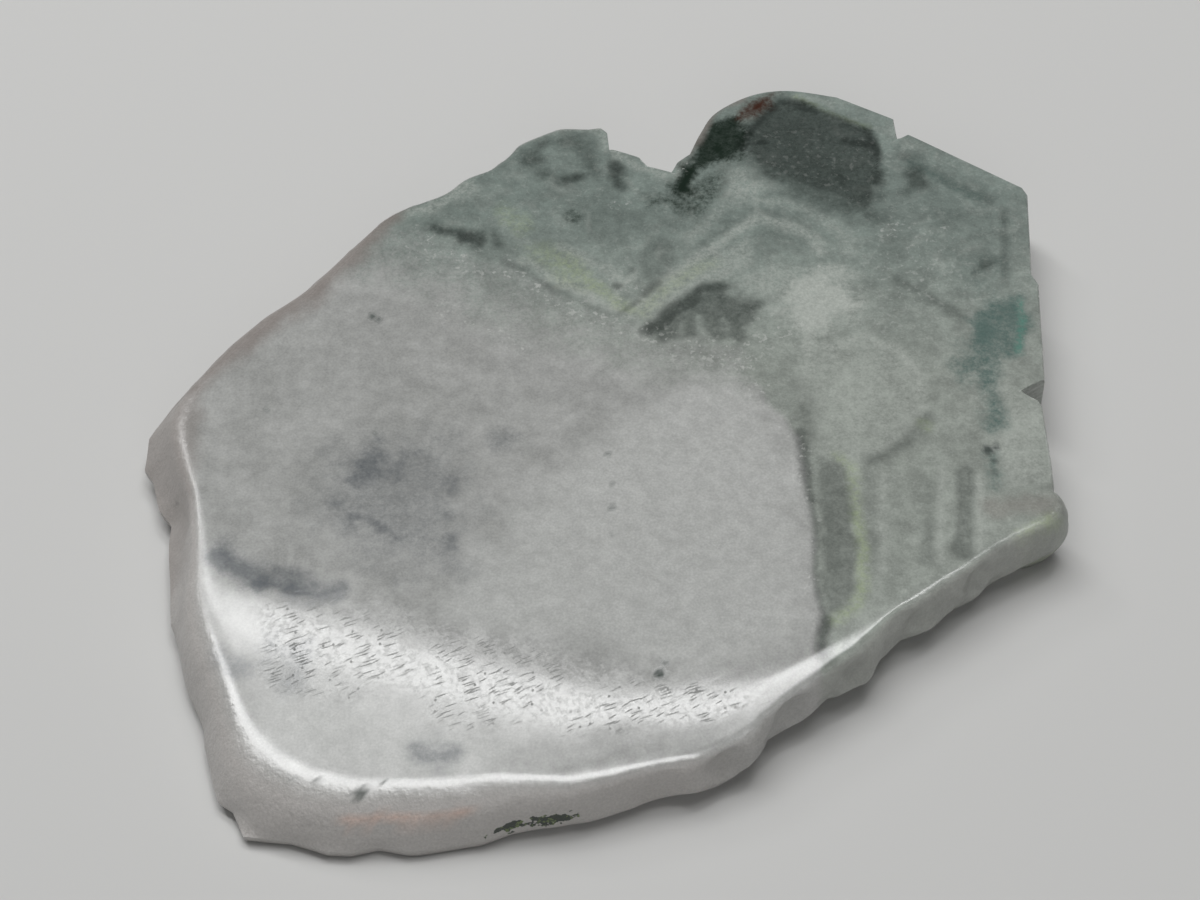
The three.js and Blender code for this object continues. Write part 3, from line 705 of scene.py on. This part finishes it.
def over(below, colour, factor):
    """Lays a colour over what is below it by a factor from 0 to 1."""
    made = tree.nodes.new("ShaderNodeMix")
    made.data_type = "RGBA"
    tree.links.new(factor, made.inputs[0])
    for socket, value in ((made.inputs[6], below), (made.inputs[7], colour)):
        if isinstance(value, bpy.types.NodeSocket):
            tree.links.new(value, socket)
        else:
            socket.default_value = (*value, 1.0)
    return made.outputs[2]


def noise(size, detail, roughness=0.55, distortion=0.0, turn=0.0, squeeze=1.0):
    """Noise on the object's own coordinates, with lumps about `size` mm across, drawn out `squeeze` times
    along a direction `turn` degrees from the x axis."""
    place = add("ShaderNodeTexCoord").outputs["Object"]
    if squeeze != 1.0:
        place = add("ShaderNodeVectorRotate", rotation_type="Z_AXIS", Angle=math.radians(-turn),
                    Vector=place).outputs[0]
        place = add("ShaderNodeMapping", Vector=place, Scale=(1 / squeeze, 1.0, 1.0)).outputs[0]
    made = add("ShaderNodeTexNoise", Vector=place, Scale=1 / (size * MM), Detail=detail, Roughness=roughness,
               Distortion=distortion)
    return made.outputs["Fac"]


def mottled(name, contrast=2.4):
    """A mask with fine noise worked into its half tones: m + contrast m (1 - m) (noise - 1/2)."""
    mask = attribute(name)
    swing = maths("MULTIPLY", maths("SUBTRACT", speckle, 0.5), contrast)
    swing = maths("MULTIPLY", swing, maths("SUBTRACT", 1.0, mask))
    return maths("MULTIPLY", mask, maths("ADD", swing, 1.0), clamp=True)


def shaded(colour, factor):
    """A colour made lighter or darker by a factor."""
    return add("ShaderNodeVectorMath", operation="SCALE", Vector=colour, Scale=factor).outputs[0]


def spread(low, high, value):
    """A value from 0 to 1 moved to the range from low to high."""
    made = maths("MULTIPLY_ADD", value, high - low)
    made.node.inputs[2].default_value = low
    return made


def between(low, high, value):
    """Smooth step of a value from 0 at low to 1 at high."""
    made = add("ShaderNodeMapRange", interpolation_type="SMOOTHSTEP", clamp=True)
    tree.links.new(value, made.inputs["Value"])
    made.inputs["From Min"].default_value = low
    made.inputs["From Max"].default_value = high
    return made.outputs[0]


lumps = between(0.3, 0.7, noise(4.5, 4.0, 0.6, 0.4))
cotton = between(0.3, 0.7, noise(1.3, 3.0, 0.66))
speckle = between(0.25, 0.75, noise(0.5, 3.0, 0.72))
wisps = between(0.48, 0.7, noise(3.2, 5.0, 0.62, 1.2))
feathers = between(0.5, 0.74, noise(0.9, 3.0, 0.6, 0.0, -34.0, 6.0))
grain = noise(0.2, 1.0)
flecks = between(0.58, 0.68, noise(0.55, 2.0, 0.6))
frost = between(0.54, 0.72, noise(0.45, 3.0, 0.68, 0.6))
depth = add("ShaderNodeSeparateXYZ", Vector=add("ShaderNodeTexCoord").outputs["Object"]).outputs["Y"]

# Growth lines lie level on the crystal faces, because the crystals stand across the slice.
levels = add("ShaderNodeMapping", Vector=add("ShaderNodeTexCoord").outputs["Object"], Scale=(0.05, 0.05, 1.0))
lines = add("ShaderNodeTexNoise", Vector=levels.outputs[0], Scale=1 / (0.4 * MM), Detail=2.0).outputs["Fac"]
striated = maths("MULTIPLY", attribute("grown"), attribute("edge_skin"))

# Short polishing scratches in two directions and pin holes, both in drifts, break up the gloss, and in the
# bend they are also painted dark, as painted shade where they don't mirror the front highlight. The rim is
# polished less finely than the top, and the broken edge not at all.
drift = maths("MULTIPLY", between(0.36, 0.52, noise(5.0, 2.0)), attribute("scuffed_and_shaded"))


def marks(turn, stretch, size, chance):
    """Spots of the given size in a share of the cells of a pattern, drawn out along a direction."""
    place = add("ShaderNodeVectorRotate", rotation_type="Z_AXIS", Angle=math.radians(-turn),
                Vector=add("ShaderNodeTexCoord").outputs["Object"]).outputs[0]
    place = add("ShaderNodeMapping", Vector=place, Scale=stretch).outputs[0]
    cells = add("ShaderNodeTexVoronoi", voronoi_dimensions="2D", Vector=place, Scale=1.0)
    lot = add("ShaderNodeSeparateColor", Color=cells.outputs["Color"]).outputs[0]
    spot = maths("SUBTRACT", 1.0, between(0.7 * size, size, cells.outputs["Distance"]))
    return maths("MULTIPLY", spot, between(1 - chance, 1.02 - chance, lot))


scratches = maths("MAXIMUM", marks(20.0, (420, 4200, 1), 0.27, 0.32), marks(33.0, (620, 4400, 1), 0.27, 0.3))
holes = marks(0.0, (1300, 1100, 1), 0.16, 0.16)
scratches_and_shade = maths("MULTIPLY", maths("MAXIMUM", scratches, holes), drift)

# Crystals: greener and darker towards the back, where they are clearer.
colour = over((0.315, 0.342, 0.31), (0.205, 0.247, 0.225), between(0.001, 0.027, depth))
colour = over(colour, (0.42, 0.45, 0.415), maths("MULTIPLY", wisps, 0.26))
colour = shaded(colour, spread(0.86, 1.12, lumps))
colour = shaded(colour, spread(0.86, 1.10, cotton))
colour = over(colour, (0.52, 0.55, 0.51), maths("MULTIPLY", frost, 0.2))
colour = over(colour, (0.485, 0.515, 0.475), mottled("pale"))
milky = over((0.34, 0.345, 0.333), (0.42, 0.425, 0.412), lumps)
# The wedge is lighter; its patch on the front flat is painted sheen, a painted reflection.
milky = over(milky, (0.50, 0.508, 0.492), maths("MULTIPLY", attribute("wedge_and_sheen"), 0.75))
milky = shaded(milky, spread(0.93, 1.08, cotton))
milky = over(milky, (0.36, 0.36, 0.347), maths("MULTIPLY", feathers, 0.22))
colour = over(colour, milky, mottled("milk", 2.0))
colour = over(colour, (0.105, 0.118, 0.128), mottled("haze", 1.2))
colour = over(colour, (0.36, 0.43, 0.265), mottled("olive"))
colour = over(colour, (0.038, 0.051, 0.045), mottled("smoke", 1.2))
colour = over(colour, (0.104, 0.16, 0.144), mottled("teal"))
colour = over(colour, (0.12, 0.272, 0.22), mottled("bright_teal"))
colour = over(colour, (0.009, 0.019, 0.012), mottled("green"))
sugary = maths("MULTIPLY", attribute("sugar"), maths("MULTIPLY", flecks, 0.55))
colour = over(colour, (0.64, 0.655, 0.625), sugary)
# Ground stone on the worn edges, lighter also as painted light on the front walls.
colour = over(colour, (0.51, 0.487, 0.468), maths("MULTIPLY", attribute("ground_and_glow"), 0.85))
# Brown stain, and painted shade on the left bevel.
colour = over(colour, (0.245, 0.215, 0.198), maths("MULTIPLY", attribute("tan"), 0.8))
colour = over(colour, (0.66, 0.47, 0.39), maths("MULTIPLY", attribute("fracture"), 0.75))
colour = over(colour, (0.051, 0.019, 0.011), mottled("rust"))
colour = over(colour, (0.45, 0.48, 0.45), maths("MULTIPLY", striated, between(0.45, 0.7, lines)))
colour = shaded(colour, spread(0.8, 1.2, grain))
# Scratches and pin holes painted dark: painted shade where they don't mirror the front highlight.
colour = over(colour, (0.11, 0.115, 0.11), maths("MULTIPLY", scratches_and_shade, 0.5))
colour = over(colour, (0.01, 0.025, 0.017), attribute("specks"))
crumbs = over((0.009, 0.02, 0.01), (0.117, 0.171, 0.045), between(0.6, 0.75, speckle))
caked = maths("ADD", maths("MULTIPLY", attribute("crust"), 0.5), maths("MULTIPLY", cotton, 0.5))
colour = over(colour, crumbs, between(0.62, 0.7, caked))
tree.links.new(colour, shader.inputs["Base Color"])

clear = maths("MULTIPLY", attribute("smoke"), 0.6)
tree.links.new(clear, shader.inputs["Transmission Weight"])
shader.inputs["IOR"].default_value = 1.544
shader.inputs["Specular IOR Level"].default_value = 0.75

rough = spread(0.09, 0.14, lumps)
dull = maths("MULTIPLY", between(0.45, 0.7, speckle), attribute("scuffed_and_shaded"))
for mask, amount in ((attribute("edge_skin"), 0.25), (attribute("soft_rim"), 0.04), (striated, -0.1),
                     (scratches_and_shade, 0.55), (dull, 0.1), (attribute("specks"), 0.5)):
    rough = maths("ADD", rough, maths("MULTIPLY", mask, amount))
tree.links.new(rough, shader.inputs["Roughness"])

# The wall: fine level growth lines on the crystal faces, grain and small lumps on the broken stretches.
worn = maths("ADD", maths("MULTIPLY", cotton, 2.2), speckle)
lined = maths("MULTIPLY", maths("MULTIPLY", lines, 3.0), striated)
relief = maths("ADD", lined, maths("MULTIPLY", worn, attribute("edge_skin")))
bump = add("ShaderNodeBump", Strength=1.0, Distance=0.018 * MM, Height=relief)
tree.links.new(bump.outputs[0], shader.inputs["Normal"])

absorb = add("ShaderNodeVolumeAbsorption", Color=(0.62, 0.70, 0.66, 1.0), Density=160.0)
tree.links.new(absorb.outputs[0], tree.nodes["Material Output"].inputs["Volume"])
slice_mesh.materials.append(quartz)

quartz_slice = bpy.data.objects.new("quartz_slice_look", slice_mesh)
bpy.context.scene.collection.objects.link(quartz_slice)
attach(quartz_slice, "root")
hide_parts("quartz_slice")


# The floor. A plain pale matt sheet under the slice, not part of the object.
# It lies a hair below the stone so that the two faces don't share a plane.
floor_mesh = bpy.data.meshes.new("floor")
far = 2.0
below = -0.1 * MM
floor_corners = [(-far, -far, below), (far, -far, below), (far, far, below), (-far, far, below)]
floor_mesh.from_pydata(floor_corners, [], [(0, 1, 2, 3)])
floor_paint = bpy.data.materials.new("pale_floor")
floor_paint.use_nodes = True
matt = floor_paint.node_tree.nodes["Principled BSDF"]
matt.inputs["Base Color"].default_value = (0.62, 0.62, 0.61, 1.0)
matt.inputs["Roughness"].default_value = 0.85
floor_mesh.materials.append(floor_paint)
floor = bpy.data.objects.new("floor", floor_mesh)
bpy.context.scene.collection.objects.link(floor)


# The light. A dim room with three strip softboxes behind, end to end in a bend, that the leaning flats
# mirror, a long one overhead for the rim, a short one to the left, and a weak wide one in front that fills
# the walls. A dim sheet in front of the strips softens the lower edge of their mirror image.
room = bpy.data.worlds.new("room")
bpy.context.scene.world = room
room.use_nodes = True
room_light = room.node_tree.nodes["Background"]
room_light.inputs["Color"].default_value = (1.0, 1.0, 1.0, 1.0)
room_light.inputs["Strength"].default_value = 0.06

# Each lamp: place in mm, tilt and turn in degrees, width and height in mm, and how bright its face is.
for name, place, tilt, turn, wide, tall, radiance in (
        ("softbox_behind", (-129.0, 318.0, 600.0), 0.0, -23.4, 396.0, 86.0, 7.5),
        ("softbox_middle", (88.0, 166.0, 600.0), 0.0, -58.0, 160.0, 62.0, 7.5),
        ("softbox_right", (168.0, 168.0, 600.0), 0.0, 52.0, 180.0, 60.0, 7.5),
        ("softbox_left", (-470.0, 500.0, 600.0), 0.0, -31.0, 280.0, 130.0, 8.0),
        ("softbox_overhead", (-155.0, 116.0, 900.0), 0.0, -36.0, 980.0, 140.0, 9.0),
        ("reflector_behind", (-81.0, 185.0, 600.0), 0.0, -23.4, 590.0, 120.0, 1.6),
        ("softbox_front", (0.0, -700.0, 400.0), 60.0, 0.0, 700.0, 400.0, 0.9)):
    lamp = bpy.data.lights.new(name, "AREA")
    lamp.shape = "RECTANGLE"
    lamp.size = wide * MM
    lamp.size_y = tall * MM
    lamp.energy = radiance * math.pi * lamp.size * lamp.size_y
    lamp_object = bpy.data.objects.new(name, lamp)
    lamp_object.location = Vector(place) * MM
    lamp_object.rotation_euler = (math.radians(tilt), 0.0, math.radians(turn))
    bpy.context.scene.collection.objects.link(lamp_object)


# The camera. An 85 mm lens that looks down from the front, set so that it gives the photograph's view.
# `aim` is the point that it looks at and `view_distance` how far away it stands, both in mm.
aim = Vector((-0.05, -4.1, 6.5)) * MM
view_down = math.radians(50.0)
view_distance = 241.1
camera_data = bpy.data.cameras.new("camera")
camera_data.lens = 85.0
camera_data.sensor_width = 36.0
camera_data.clip_start = 0.01
camera = bpy.data.objects.new("camera", camera_data)
back = Vector((0.0, -math.cos(view_down), math.sin(view_down)))
camera.location = aim + back * view_distance * MM
camera.rotation_euler = back.to_track_quat("Z", "Y").to_euler()
bpy.context.scene.collection.objects.link(camera)
bpy.context.scene.camera = camera
bpy.context.scene.view_settings.view_transform = "Standard"
